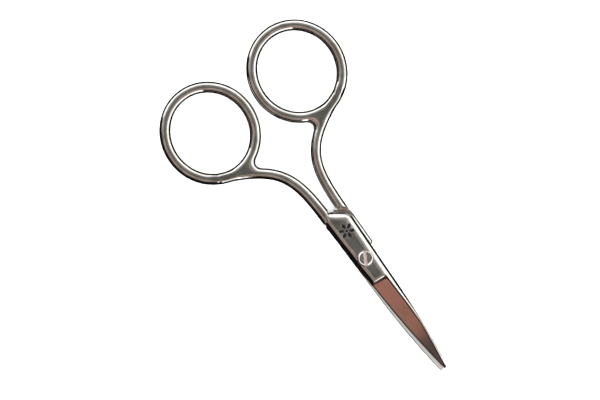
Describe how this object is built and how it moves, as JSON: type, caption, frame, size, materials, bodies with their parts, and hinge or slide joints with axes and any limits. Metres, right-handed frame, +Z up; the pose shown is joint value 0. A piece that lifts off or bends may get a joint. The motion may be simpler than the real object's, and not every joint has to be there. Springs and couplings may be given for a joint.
{
  "type": "embroidery scissors",
  "caption": "Small polished steel embroidery scissors for snipping thread, with oval finger rings and a slotted pivot screw.",
  "frame": {"origin": "where the pivot axis meets the flat underside of the lower half's boss", "axes": "+X from the pivot toward the blade tips, +Z up out of the screw head, +Y to the left of the blades"},
  "size_m": [0.1013, 0.055, 0.0046],
  "materials": {
    "polished_steel": "polished, with ground blade faces",
    "screw_steel": "turned and lightly polished"
  },
  "bodies": {
    "lower": {"lower_half": "polished_steel"},
    "upper": {"upper_half": "polished_steel"},
    "screw": {"pivot_screw": "screw_steel"}
  },
  "joints": [
    {"name": "blade_pivot", "type": "hinge", "parent": "lower", "child": "upper", "pos_m": [0, 0, 0.00213], "axis": [0, 0, 1], "range_deg": [-1.8, 90]},
    {"name": "screw_turn", "type": "hinge", "parent": "lower", "child": "screw", "pos_m": [0, 0, 0.00213], "axis": [0, 0, 1], "range_deg": [-20, 90]}
  ]
}
